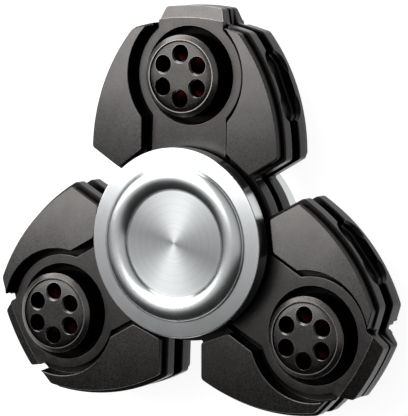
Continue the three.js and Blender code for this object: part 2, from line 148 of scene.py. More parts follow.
def ray_out(start: Vector, along: Vector, centre: Vector, radius: float) -> Vector:
    """Find where a line leaves a circle.

    Args:
        start: A point on the line.
        along: Unit vector along it.
        centre: Middle of the circle.
        radius: Its radius, mm.

    Returns:
        The crossing that lies furthest along the line.
    """
    reach = (centre - start).dot(along)
    offset = (centre - start).length_squared - reach * reach
    return start + along * (reach + math.sqrt(radius * radius - offset))


def crossing(centre_a: Vector, radius_a: float, centre_b: Vector, radius_b: float) -> Vector:
    """Find where two circles cross.

    Args:
        centre_a: Middle of the first circle.
        radius_a: Its radius, mm.
        centre_b: Middle of the second.
        radius_b: Its radius, mm.

    Returns:
        The crossing to the right of the line from the first middle to the second.
    """
    apart = (centre_b - centre_a).length
    along = (apart**2 + radius_a**2 - radius_b**2) / (2 * apart)
    across = math.sqrt(radius_a**2 - along**2)
    toward = (centre_b - centre_a) / apart
    return centre_a + toward * along + Vector((toward.y, -toward.x)) * across


def mirrored(half: Outline) -> list[Vector]:
    """Close a right-hand half outline with its mirror image across the Y axis."""
    left = [Vector((-p.x, p.y)) for p in half if p.x > SAME]
    return [*half, *reversed(left)]


def turned_by(points: Outline, angle: float) -> list[Vector]:
    """The same points turned about the origin."""
    spin = Matrix.Rotation(angle, 2)
    return [spin @ p for p in points]


def corner_arc(start: Vector, corner: Vector, end: Vector) -> list[Vector]:
    """Three chords that round a corner off, from a point before it to a point after it."""
    return [start * (1 - t) ** 2 + corner * 2 * t * (1 - t) + end * t * t for t in CHORD_ENDS]


def eased(outline: Outline, radius: float) -> list[Vector]:
    """Ease the sharp corners of a closed outline, as a cutter does.

    Args:
        outline: The closed outline, mm.
        radius: Setback of the ease along both sides.

    Returns:
        The outline with every sharp corner turned into three chords.
    """
    result = []
    for i, here in enumerate(outline):
        before, after = outline[i - 1] - here, outline[(i + 1) % len(outline)] - here
        if math.pi - before.angle(after) < SHARP_TURN:
            result.append(here)
            continue
        setback = min(radius, EASE_SHARE * before.length, EASE_SHARE * after.length)
        start, end = here + before.normalized() * setback, here + after.normalized() * setback
        result += corner_arc(start, here, end)
    return result


# ---------- Bench: what the modelling operators are driven with ----------


def take(*pieces: Piece) -> None:
    """Leave edit mode and select only these pieces, the first one active."""
    if bpy.context.object and bpy.context.object.mode != "OBJECT":
        bpy.ops.object.mode_set(mode="OBJECT")
    bpy.ops.object.select_all(action="DESELECT")
    for piece in pieces:
        piece.select_set(True)
    bpy.context.view_layer.objects.active = pieces[0] if pieces else None


def started(name: str) -> Piece:
    """Name the primitive that was just added and return it."""
    piece = bpy.context.active_object
    piece.name = name
    piece.data.name = name
    return piece


def draw(name: str, points: Outline) -> Piece:
    """Draw a chain of points, one extrusion after another, and stay in edit mode.

    Args:
        name: Name of the new piece.
        points: Where the chain goes, mm, in space.

    Returns:
        The new piece, with every point selected.
    """
    take()
    bpy.ops.mesh.primitive_plane_add(size=1.0)
    piece = started(name)
    bpy.ops.object.mode_set(mode="EDIT")
    bpy.ops.mesh.select_all(action="SELECT")
    bpy.ops.mesh.merge(type="CENTER")
    bpy.ops.transform.translate(value=points[0])
    for before, after in zip(points, points[1:]):
        bpy.ops.mesh.extrude_vertices_move(TRANSFORM_OT_translate={"value": after - before})
    bpy.ops.mesh.select_all(action="SELECT")
    return piece


def select_edges(piece: Piece, test: EdgeTest) -> int:
    """Select the edges that pass a test, in edit mode.

    Args:
        piece: The piece being edited.
        test: True for an edge to select.

    Returns:
        How many edges are selected.
    """
    bpy.ops.mesh.select_mode(type="EDGE")
    bpy.ops.mesh.select_all(action="DESELECT")
    mesh = bmesh.from_edit_mesh(piece.data)
    chosen = [edge for edge in mesh.edges if test(edge)]
    for edge in chosen:
        edge.select_set(True)
    bmesh.update_edit_mesh(piece.data)
    return len(chosen)


def at_height(height: float) -> EdgeTest:
    """Test for an edge that lies at a height."""
    return lambda edge: all(abs(v.co.z - height) < SAME for v in edge.verts)


def close_up(piece: Piece) -> None:
    """Merge doubles, face every side outwards and leave edit mode."""
    take(piece)
    bpy.ops.object.mode_set(mode="EDIT")
    bpy.ops.mesh.select_mode(type="VERT")
    bpy.ops.mesh.select_all(action="SELECT")
    bpy.ops.mesh.remove_doubles(threshold=SAME)
    bpy.ops.mesh.normals_make_consistent(inside=False)
    bpy.ops.object.mode_set(mode="OBJECT")


def plate(
    name: str,
    outline: Outline,
    low: float,
    high: float,
    top_bevel: float = 0.0,
    low_bevel: float = 0.0,
) -> Piece:
    """Extrude an outline into a plate and break its edges.

    Args:
        name: Name of the new piece.
        outline: Closed outline, mm.
        low: Height of the lower face.
        high: Height of the upper face.
        top_bevel: Width of the bevel round the upper face, or 0.
        low_bevel: The same round the lower face.

    Returns:
        The plate, in millimetres.
    """
    piece = draw(name, [Vector((p.x, p.y, low)) for p in outline])
    bpy.ops.mesh.edge_face_add()
    bpy.ops.mesh.extrude_region_move(TRANSFORM_OT_translate={"value": (0, 0, high - low)})
    for height, width in ((high, top_bevel), (low, low_bevel)):
        if width and select_edges(piece, at_height(height)):
            bpy.ops.mesh.bevel(offset=width, segments=BEVEL_SEGMENTS, affect="EDGES", clamp_overlap=False)
    close_up(piece)
    return piece


def turning(name: str, profile: Profile, steps: int = ROUND_STEPS, ring: bool = False) -> Piece:
    """Spin a profile about the Z axis, as on a lathe.

    Args:
        name: Name of the new piece.
        profile: Radius and height of each corner, mm.
        steps: Faces round the turn.
        ring: Whether the profile closes on itself instead of meeting the axis.

    Returns:
        The closed turned piece, in millimetres.
    """
    path = [*profile, profile[0]] if ring else profile
    piece = draw(name, [Vector((radius, 0, height)) for radius, height in path])
    bpy.ops.mesh.spin(steps=steps, angle=TURN, center=(0, 0, 0), axis=(0, 0, 1))
    close_up(piece)
    return piece


def on_axis(points: Profile) -> Profile:
    """Close a turned solid's side with flat ends that reach the axis."""
    return [(0, points[0][1]), *points, (0, points[-1][1])]


def rounded(profile: Profile, radius: float, chosen: Sequence[int]) -> Profile:
    """Round some corners of a turned profile with a small three-chord arc.

    Args:
        profile: Radius and height of each corner, mm.
        radius: Setback of the round along both sides.
        chosen: Places in the profile of the corners to round.

    Returns:
        The profile with those corners rounded.
    """
    result: list[tuple[float, float]] = []
    for i, corner in enumerate(profile):
        if i not in chosen:
            result.append(corner)
            continue
        here = Vector(corner)
        before = here + (Vector(profile[i - 1]) - here).normalized() * radius
        after = here + (Vector(profile[(i + 1) % len(profile)]) - here).normalized() * radius
        result += [tuple(point) for point in corner_arc(before, here, after)]
    return result


def combine(piece: Piece, tool: Piece, operation: str) -> None:
    """Join a tool to a piece or cut it away, and use the tool up.

    Args:
        piece: The piece that stays.
        tool: The other solid.
        operation: UNION or DIFFERENCE.
    """
    take(piece)
    bpy.ops.object.modifier_add(type="BOOLEAN")
    modifier = piece.modifiers[-1]
    modifier.object = tool
    modifier.operation = operation
    modifier.solver = "EXACT"
    bpy.ops.object.modifier_apply(modifier=modifier.name)
    discard(tool)


def discard(*pieces: Piece) -> None:
    """Throw away models and tools that have been used up."""
    for piece in pieces:
        bpy.data.objects.remove(piece)


def copied(piece: Piece, name: str, *moves: Matrix) -> Piece:
    """Copy a piece with its own mesh and put the copy in place.

    Args:
        piece: The finished model.
        name: Name of the copy.
        moves: Transforms to apply, first one first.

    Returns:
        The copy, with its place in its mesh.
    """
    take(piece)
    bpy.ops.object.duplicate(linked=False)
    copy = started(name)
    whole = Matrix.Identity(4)
    for move in moves:
        whole = move @ whole
    copy.matrix_world = whole
    bpy.ops.object.transform_apply(location=True, rotation=True, scale=True)
    if whole.determinant() < 0:
        close_up(copy)
    return copy


def moved(tool: Piece, *moves: Matrix) -> Piece:
    """Put a tool in place, first move first."""
    there = copied(tool, f"{tool.name}_placed", *moves)
    discard(tool)
    return there


def painted(piece: Piece, *layers: tuple[Material, FaceTest]) -> None:
    """Give faces their finishes, by their normal and their middle; some layers are painted shade or painted
    highlights.

    Args:
        piece: The piece, still in place on the front's upward arm or at the origin.
        layers: A finish and the test of the faces that take it; a later one wins.
    """
    for material, _ in layers:
        piece.data.materials.append(material)
    for face in piece.data.polygons:
        for index, (_, test) in enumerate(layers):
            if test(face.normal, face.center):
                face.material_index = index


def everywhere(normal: Vector, middle: Vector) -> bool:
    """Test that every face passes."""
    return True


def upright(normal: Vector, middle: Vector) -> bool:
    """Test for a face that stands on edge."""
    return abs(normal.z) < STANDING


def to_arm(arm: int) -> Matrix:
    """Turn from the upward arm to another arm, counted anticlockwise."""
    return Matrix.Rotation(arm * TURN / ARM_COUNT, 4, "Z")


def to_side(side: Side) -> Matrix:
    """Half turn about Y for the back, nothing for the front."""
    return Matrix.Rotation(math.pi if side is Side.BACK else 0.0, 4, "Y")


def to_place(side: Side, arm: int) -> list[Matrix]:
    """Moves from the front's upward arm to any arm of either side."""
    return [to_side(side), to_arm(arm)]


def crown(piece: Piece, centre: Vector, radius: float, floor: float, pitch: float = 1.3) -> None:
    """Crown the top of a plate, so that it falls away from a centre as a large ball does.

    Args:
        piece: The plate, in millimetres.
        centre: Plan position of the highest point.
        radius: Radius of the ball.
        floor: Height above which corners move; the crown grows from there to the top.
        pitch: Spacing of the lines that the top is cut along, so that it can curve.
    """
    places = [v.co for v in piece.data.vertices]
    low, high = (Vector(end(place[i] for place in places) for i in range(3)) for end in (min, max))
    take(piece)
    bpy.ops.object.mode_set(mode="EDIT")
    for axis in (0, 1):
        normal = Vector((axis == 0, axis == 1, 0))
        place = low[axis] + pitch
        while place < high[axis]:
            bpy.ops.mesh.select_all(action="SELECT")
            bpy.ops.mesh.bisect(plane_co=normal * place, plane_no=normal)
            place += pitch
    bpy.ops.object.mode_set(mode="OBJECT")
    for vertex in piece.data.vertices:
        if vertex.co.z > floor:
            share = (vertex.co.z - floor) / (high.z - floor)
            vertex.co.z -= share * (vertex.co.xy - centre).length_squared / (2 * radius)


def stamp_plan(piece: Piece) -> None:
    """Keep each corner's plan position, in mm, as the map that turning marks follow."""
    layer = piece.data.uv_layers.new(name="plan")
    for loop in piece.data.loops:
        place = piece.data.vertices[loop.vertex_index].co
        layer.data[loop.index].uv = (place.x, place.y)


def smooth(piece: Piece) -> None:
    """Shade the flat faces flat and the rounds round."""
    take(piece)
    bpy.ops.object.shade_smooth_by_angle(angle=SMOOTH_ANGLE)
    bpy.ops.object.modifier_add(type="WEIGHTED_NORMAL")
    piece.modifiers[-1].keep_sharp = True
    bpy.ops.object.modifier_apply(modifier=piece.modifiers[-1].name)


def placed(model: Piece, name: str, *moves: Matrix) -> Piece:
    """Copy a model to its place and smooth the copy."""
    copy = copied(model, name, *moves)
    smooth(copy)
    return copy


def lean_normals(piece: Piece, centre: Vector, up: Vector, height: float) -> None:
    """Lean the normals of a plate's upper face away from a point far below, as blasting rounds it.

    Args:
        piece: The smoothed plate.
        centre: The point that the normals point away from.
        up: Which way the plate's upper face looks.
        height: Height, that way, of the lowest corner that is leant.
    """
    take(piece)
    upper = [v.index for v in piece.data.vertices if v.normal.dot(up) > LYING and v.co.dot(up) > height]
    piece.vertex_groups.new(name=UPPER_FACE).add(upper, 1.0, "REPLACE")
    bpy.ops.object.empty_add(location=centre)
    aim = bpy.context.active_object
    take(piece)
    bpy.ops.object.modifier_add(type="NORMAL_EDIT")
    lean = piece.modifiers[-1]
    lean.mode, lean.target, lean.vertex_group = "RADIAL", aim, UPPER_FACE
    lean.no_polynors_fix = True
    bpy.ops.object.modifier_apply(modifier=lean.name)
    piece.vertex_groups.remove(piece.vertex_groups[UPPER_FACE])
    discard(aim)


def finished(piece: Piece, body: str, slot: str, *nodes: str) -> None:
    """Bring a smoothed piece to metres and put it in the frame.

    Args:
        piece: The piece, in millimetres, with its materials.
        body: CAD body that it moves with.
        slot: Material slot of the record; not used.
        nodes: CAD nodes that it stands for.
    """
    take(piece)
    piece.scale = (MM, MM, MM)
    bpy.ops.object.transform_apply(location=False, rotation=False, scale=True)
    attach(piece, body)
    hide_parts(*nodes)


# ---------- Finishes ----------


def linear(hex_code: str) -> tuple[float, float, float, float]:
    """Turn an sRGB hex colour to the linear colour that shaders take."""
    channels = [int(hex_code[i : i + 2], 16) / 255 for i in (1, 3, 5)]
    curve = [c / 12.92 if c <= 0.04045 else ((c + 0.055) / 1.055) ** 2.4 for c in channels]
    return (*curve, 1.0)


def add_node(tree: Tree, kind: str, inputs: dict | None = None, **settings) -> bpy.types.Node:
    """Add a node, set it up and link what feeds it.

    Args:
        tree: The node tree.
        kind: The node's type.
        inputs: Socket name or number, and its value or the socket that feeds it.
        settings: The node's own settings.

    Returns:
        The node.
    """
    node = tree.nodes.new(kind)
    for name, value in settings.items():
        setattr(node, name, value)
    for socket, value in (inputs or {}).items():
        if isinstance(value, Socket):
            tree.links.new(value, node.inputs[socket])
        else:
            node.inputs[socket].default_value = value
    return node


def emptied(owner: Material | bpy.types.World) -> Tree:
    """Give a material or a world nodes of its own, with none in it yet."""
    owner.use_nodes = True
    owner.node_tree.nodes.clear()
    return owner.node_tree


def noise(tree: Tree, grain_mm: float, detail: float = 2.0) -> Socket:
    """Noise whose grains are about this large, fixed to the piece."""
    place = add_node(tree, "ShaderNodeTexCoord").outputs["Object"]
    grain = {"Vector": place, "Scale": 1 / (grain_mm * MM), "Detail": detail, "Roughness": NOISE_ROUGHNESS}
    return add_node(tree, "ShaderNodeTexNoise", grain).outputs["Fac"]


def mapped(tree: Tree, source: Socket, span: tuple[float, float], low: float, high: float) -> Socket:
    """Map one range of values onto another, and hold what lies outside it at its ends."""
    inputs = {"Value": source, "From Min": span[0], "From Max": span[1], "To Min": low, "To Max": high}
    return add_node(tree, "ShaderNodeMapRange", inputs).outputs["Result"]


def worked_out(tree: Tree, operation: str, first: Socket, second: Socket) -> Socket:
    """Work out a sum or a product of two values."""
    return add_node(tree, "ShaderNodeMath", {0: first, 1: second}, operation=operation).outputs["Value"]


def spread(tree: Tree, source: Socket, low: float, high: float) -> Socket:
    """Spread the middle of a noise over a range of values."""
    return mapped(tree, source, NOISE_MIDDLE, low, high)


def edge_mask(tree: Tree, width_mm: float) -> Socket:
    """Find edges and corners, where hands rub a finish away, broken up by a patchy noise."""
    soft = add_node(tree, "ShaderNodeBevel", {"Radius": width_mm * MM}, samples=EDGE_SAMPLES)
    own = add_node(tree, "ShaderNodeNewGeometry")
    pair = {0: soft.outputs["Normal"], 1: own.outputs["Normal"]}
    match = add_node(tree, "ShaderNodeVectorMath", pair, operation="DOT_PRODUCT")
    edge = mapped(tree, match.outputs["Value"], (FLAT_MATCH, EDGE_MATCH), 0.0, 1.0)
    patchy = spread(tree, noise(tree, PATCH_MM), PATCH_LEAST, 1.0)
    return worked_out(tree, "MULTIPLY", edge, patchy)


def mixed(tree: Tree, factor: Socket, first: tuple | Socket, second: tuple | Socket) -> Socket:
    """Blend two colours by a factor."""
    inputs = {"Factor": factor, 6: first, 7: second}
    return add_node(tree, "ShaderNodeMix", inputs, data_type="RGBA").outputs[2]


def bumped(tree: Tree, height: Socket, strength: float, depth_mm: float) -> Socket:
    """Turn a height into the normal of a surface that rises and falls by this depth."""
    inputs = {"Height": height, "Strength": strength, "Distance": depth_mm * MM}
    return add_node(tree, "ShaderNodeBump", inputs).outputs["Normal"]


def turning_marks(tree: Tree, pitch_mm: float) -> Socket:
    """Height of the fine uneven rings that a lathe tool leaves, from the piece's plan map."""
    plan = add_node(tree, "ShaderNodeUVMap", uv_map="plan").outputs["UV"]
    radius = add_node(tree, "ShaderNodeVectorMath", {0: plan}, operation="LENGTH").outputs["Value"]
    across = add_node(tree, "ShaderNodeCombineXYZ", {"X": radius}).outputs["Vector"]
    inputs = {"Vector": across, "Scale": 1 / pitch_mm, "Detail": MARK_DETAIL, "Roughness": MARK_ROUGHNESS}
    return add_node(tree, "ShaderNodeTexNoise", inputs).outputs["Fac"]


@dataclass(frozen=True)
class Finish:
    """A metal's finish: its colour, a second colour that breaks it up, and how rough it is."""

    name: str
    colour: str
    second: str
    roughness: float

    def skin(self, tree: Tree) -> dict:
        """What feeds the shader's sockets; each kind of finish gives its own."""
        raise NotImplementedError

    def toned(self, tree: Tree, pattern: Socket, share: float) -> Socket:
        """The colour, with up to this share of the second one where a pattern is strong."""
        return mixed(tree, spread(tree, pattern, 0.0, share), linear(self.colour), linear(self.second))

    def make(self) -> Material:
        """Build the material."""
        material = bpy.data.materials.new(self.name)
        tree = emptied(material)
        shader = add_node(tree, "ShaderNodeBsdfPrincipled", {"Metallic": 1.0, **self.skin(tree)})
        add_node(tree, "ShaderNodeOutputMaterial", {"Surface": shader.outputs["BSDF"]})
        return material


@dataclass(frozen=True)
class BlastedAluminium(Finish):
    """Aluminium bead-blasted and dyed dark: a soft satin sheen full of fine pits, paler on rubbed edges.

    The pits of a real blast are 0.05 to 0.1 mm wide and are drawn about twice as coarse, to show.
    """

    pit_mm: float = 0.17
    pit_depth_mm: float = 0.004
    pit_strength: float = 0.35
    edge_mm: float = 0.14
    cloud_mm: float = 3.5
    cloud_colour: str = "#151414"
    cloud_share: float = 0.22
    speckle_share: float = 0.1
    smoother: float = 0.05
    rougher: float = 0.07

    def skin(self, tree: Tree) -> dict:
        """Dye with darker clouds, pits that glint, and the second colour where edges are rubbed."""
        pits, cloud, rubbed = noise(tree, self.pit_mm), noise(tree, self.cloud_mm), linear(self.second)
        clouds = spread(tree, cloud, 0.0, self.cloud_share)
        dyed = mixed(tree, clouds, linear(self.colour), linear(self.cloud_colour))
        speckled = mixed(tree, spread(tree, pits, 0.0, self.speckle_share), dyed, rubbed)
        return {
            "Base Color": mixed(tree, edge_mask(tree, self.edge_mm), speckled, rubbed),
            "Roughness": spread(tree, pits, self.roughness - self.smoother, self.roughness + self.rougher),
            "Normal": bumped(tree, pits, self.pit_strength, self.pit_depth_mm),
        }


@dataclass(frozen=True)
class TurnedMetal(Finish):
    """Metal faced on a lathe: fine concentric rings that draw the light out across them.

    A facing cut leaves rings 0.05 to 0.1 mm apart; they are drawn 0.1 mm and wider, to show.
    """

    pitch_mm: float = 0.11
    ring_depth_mm: float = 0.004
    stretch: float = 0.0
    ring_strength: float = 0.5
    ring_share: float = 0.5
    smudge_mm: float = 4.0
    smoother: float = 0.02
    rougher: float = 0.03

    def skin(self, tree: Tree) -> dict:
        """Rings in colour and, where they are deep, in height, under a smudged polish."""
        rings, smudge = turning_marks(tree, self.pitch_mm), noise(tree, self.smudge_mm)
        skin = {
            "Base Color": self.toned(tree, rings, self.ring_share),
            "Roughness": spread(tree, smudge, self.roughness - self.smoother, self.roughness + self.rougher),
        }
        if self.ring_depth_mm:
            skin["Normal"] = bumped(tree, rings, self.ring_strength, self.ring_depth_mm)
        if self.stretch:
            tangent = add_node(tree, "ShaderNodeTangent", direction_type="RADIAL", axis="Z")
            skin["Anisotropic"], skin["Anisotropic Rotation"] = self.stretch, QUARTER_TURN
            skin["Tangent"] = tangent.outputs["Tangent"]
        return skin


@dataclass(frozen=True)
class GroundMetal(Finish):
    """Metal ground or drawn fine: an even bright skin with faint scratches and a trace of dirt."""

    scratch_mm: float = 0.3
    scratch_detail: float = 4.0
    scratch_share: float = 0.45
    smoother: float = 0.03
    rougher: float = 0.06

    def skin(self, tree: Tree) -> dict:
        """Fine scratches in colour and in roughness."""
        scratch = noise(tree, self.scratch_mm, self.scratch_detail)
        return {
            "Base Color": self.toned(tree, scratch, self.scratch_share),
            "Roughness": spread(tree, scratch, self.roughness - self.smoother, self.roughness + self.rougher),
        }


class Finishes:
    """Every finish of the spinner, made once; some are painted shade or painted highlights."""

    def __init__(self) -> None:
        """Make them, each from its name, its two colours and its roughness.

        The cap's two steels also give their rings' pitch and depth, mm, and how far light is drawn out.
        """
        blasted, turned, ground = BlastedAluminium, TurnedMetal, GroundMetal
        self.body = blasted("dyed_blasted_aluminium_body", "#211f1f", "#726f6e", 0.32).make()
        self.spine = blasted("dyed_blasted_aluminium_spine", "#474544", "#a9a6a4", 0.33).make()
        # Painted highlight: a paler colour for the lug's sloping end and the flares round the grille holes,
        # faces that catch the light.
        self.lug = blasted("painted_highlight_pale_aluminium_lug", "#615e5c", "#c4c1bf", 0.3).make()
        self.cheek = blasted("dyed_blasted_aluminium_cheek", "#514f4e", "#b4b1af", 0.29).make()
        # The ring's paler colour is partly its own tone and partly a painted highlight for the top of its
        # chamfer, which catches the light.
        self.ring = blasted("dyed_ring_aluminium_with_painted_highlight", "#6a6765", "#8f8c8a", 0.29).make()
        self.grille = blasted("dyed_tumbled_aluminium_grille", "#454341", "#b5b2b0", 0.3).make()
        # Painted shade: a near-black colour for the moats, the spine's hole walls and the ring's outer wall,
        # recesses where shade falls.
        self.bore = blasted("painted_shade_near_black_aluminium", "#0f0e0e", "#1c1b1b", 0.4).make()
        # The sleeve's red is its own colour, darkened as painted shade for the hollow under the grille where
        # it shows.
        self.red = turned("red_turned_aluminium_darkened_as_painted_shade", "#3a080c", "#1e0406", 0.36).make()
        self.polished = turned("polished_stainless_steel", "#d6d8d9", "#c6c9ca", 0.25, 0.25, 0.0, 0.4).make()
        self.pad = turned("faced_stainless_steel_pad", "#dcdedf", "#a9acad", 0.4, 0.22, 0.0, 0.92).make()
        self.bearing = ground("ground_chrome_steel_bearing", "#c2c4c6", "#9fa2a5", 0.16).make()
        self.brass = ground("stamped_brass_cage", "#c79a4b", "#8f6a2c", 0.32).make()


# ---------- Sizes read from the frame ----------


def corners(node: str) -> list[Vector]:
    """Lowest and highest corner of a CAD node, mm."""
    return [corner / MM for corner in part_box(node)]


class Gauge:
    """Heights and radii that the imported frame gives, mm."""

    def __init__(self) -> None:
        """Read them off the front's pieces, its upward arm and the bearing."""
        low, high = corners("front_arm1_grille")
        self.plug_circle = (low.y + high.y) / 2
        self.to_plug = Matrix.Translation((0, self.plug_circle, 0))
        self.grille_radius, self.grille_seat, self.plug_top = high.x, low.z, high.z
        low, high = corners("front_arm1_plug_ring")
        self.ring_radius, self.ring_foot, self.ring_top = high.x, low.z, high.z
        high = corners("arm1_sleeve")[1]
        self.sleeve_radius, self.sleeve_end = high.x, high.z
        low, high = corners("front_body")
        self.body_reach, self.body_foot, self.body_face = high.y, low.z, high.z
        low, high = corners("front_arm1_cheek_right")
        self.cheek_foot, self.cheek_top = low.z, high.z
        self.spine_foot = corners("front_arm1_spine")[0].z
        low, high = corners("front_cap")
        self.cap_radius, self.cap_stem_end, self.cap_top = high.x, low.z, high.z
        high = corners("outer_race")[1]
        self.race_outer, self.race_half = high.x, high.z


# ---------- Outlines of one arm ----------


@dataclass
class ArmLines:
    """Plan of the upward arm, mm; every outline can be set in from the body's edge."""

    gauge: Gauge
    flank_radius: float = 24.53
    flank_across: float = 10.77
    flank_drop: float = 9.91
    heel_angle: float = math.radians(45.5)
    heel_slope: float = math.radians(31)
    heel_round: float = 0.6
    heel_steps: int = 6
    hub_radius: float = 12.6
    heel_radius: float = 12.9
    shoulder_reach: float = 6.9
    lug_base_half: float = 4.6
    lug_tip_half: float = 3.95
    ledge: float = 0.75
    cheek_end_ledge: float = 0.25
    cheek_ledge: float = 0.5
    spine_half: float = 5.25
    spine_lobe: float = 7.35
    spine_start: float = 11.9
    groove: float = 0.8

    def __post_init__(self) -> None:
        """Work out the centres and directions that the outlines share."""
        self.plug = Vector((0, self.gauge.plug_circle))
        self.flank = Vector((-self.flank_across, self.plug.y - self.flank_drop))
        self.along = Vector((math.cos(self.heel_slope), math.sin(self.heel_slope)))
        self.out = Vector((math.sin(self.heel_slope), -math.cos(self.heel_slope)))
        self.shoulder = self.plug.y + self.shoulder_reach

    def heel_point(self, inset: float) -> Vector:
        """A point on the heel's straight edge."""
        corner = Vector((math.sin(self.heel_angle), math.cos(self.heel_angle))) * self.heel_radius
        return corner + self.out * (self.ledge - inset)

    def heel_and_flank(self, inset: float, end: Vector) -> list[Vector]:
        """The heel's round corner and the flank above it, up to an end point."""
        radius = self.flank_radius - inset
        corner = ray_out(self.heel_point(inset), self.along, self.flank, radius)
        angle = bearing(self.flank, corner)
        turn = math.pi / 2 + angle - self.heel_slope
        setback = self.heel_round * math.tan(turn / 2)
        centre = corner - self.along * setback - self.out * self.heel_round
        start = self.heel_slope - math.pi / 2
        round_corner = arc(centre, self.heel_round, start, start + turn, self.heel_steps)
        flank = arc(self.flank, radius, angle + setback / radius, bearing(self.flank, end))
        return [*round_corner, *flank[1:]]

    def lug_half(self, inset: float, foot: Vector) -> list[Vector]:
        """Right half of the end lug, from its foot to the arm's axis."""
        half = self.lug_tip_half - inset
        radius = self.gauge.body_reach - inset
        return [foot, *arc(ORIGIN, radius, math.acos(half / radius), math.pi / 2)]

    def arm_half(self, inset: float) -> list[Vector]:
        """Right half of the arm, from the hub's edge to the lug's tip."""
        radius = self.shoulder - inset
        flank_end = crossing(ORIGIN, radius, self.flank, self.flank_radius - inset)
        hub_corner = ray_out(self.heel_point(inset), self.along, ORIGIN, self.hub_radius - inset)
        foot_half = self.lug_base_half - inset
        foot = Vector((foot_half, math.sqrt(radius**2 - foot_half**2)))
        shoulder = arc(ORIGIN, radius, bearing(ORIGIN, flank_end), bearing(ORIGIN, foot))
        outer = [*self.heel_and_flank(inset, flank_end), *shoulder[1:-1]]
        return [hub_corner, *outer, *self.lug_half(inset, foot)]

    def rotor(self, inset: float) -> list[Vector]:
        """The whole body: three arms joined by arcs of the hub."""
        arm = mirrored(self.arm_half(inset))
        left_end, right_start = bearing(ORIGIN, arm[-1]), bearing(ORIGIN, arm[0]) + TURN / ARM_COUNT
        neck = arc(ORIGIN, self.hub_radius - inset, left_end, right_start)[1:-1]
        return [p for i in range(ARM_COUNT) for p in turned_by([*arm, *neck], i * TURN / ARM_COUNT)]

    def lug(self, inset: float, foot_y: float) -> list[Vector]:
        """The end lug alone, from a foot inside the arm."""
        return mirrored(self.lug_half(inset, Vector((self.lug_base_half - inset, foot_y))))

    def strip_to_lobe(self, half: float, lobe: float, start: float, end_half: float) -> list[Vector]:
        """Right half of a strip that runs from round the hub to a round lobe about the plug."""
        kink = math.acos(half / lobe)
        first = arc(ORIGIN, start, math.pi / 2, math.acos(half / start))
        return [*first, *arc(self.plug, lobe, -kink, math.acos(end_half / lobe))]

    def spine(self) -> list[Vector]:
        """Outline of the spine plate."""
        base = self.lug_base_half
        foot = Vector((base, math.sqrt(self.shoulder**2 - base**2)))
        strip = self.strip_to_lobe(self.spine_half, self.spine_lobe, self.spine_start, base)
        return mirrored([*strip, *self.lug_half(0, foot)])

    def channel(self) -> list[Vector]:
        """Outline of the channel that the spine plate lies in, open past the lug."""
        half, lobe = self.spine_half + self.groove, self.spine_lobe + self.groove
        open_half, end = self.lug_base_half + self.groove, self.gauge.body_reach + OVERCUT
        strip = self.strip_to_lobe(half, lobe, self.spine_start - self.groove, open_half)
        return mirrored([*strip, Vector((open_half, end)), Vector((0, end))])

    def cheek(self) -> list[Vector]:
        """Outline of the right-hand cheek plate."""
        half, lobe = self.spine_half + self.groove, self.spine_lobe + self.groove
        corner = Vector((half, math.sqrt(self.heel_radius**2 - half**2)))
        end = self.shoulder - self.cheek_end_ledge
        flank_end = crossing(ORIGIN, end, self.flank, self.flank_radius - self.cheek_ledge)
        tip = crossing(ORIGIN, end, self.plug, lobe)
        inner = arc(self.plug, lobe, bearing(self.plug, tip), -math.acos(half / lobe))
        inset = self.cheek_ledge
        return [corner, self.heel_point(inset), *self.heel_and_flank(inset, flank_end), *inner]


# ---------- Sub-assemblies ----------


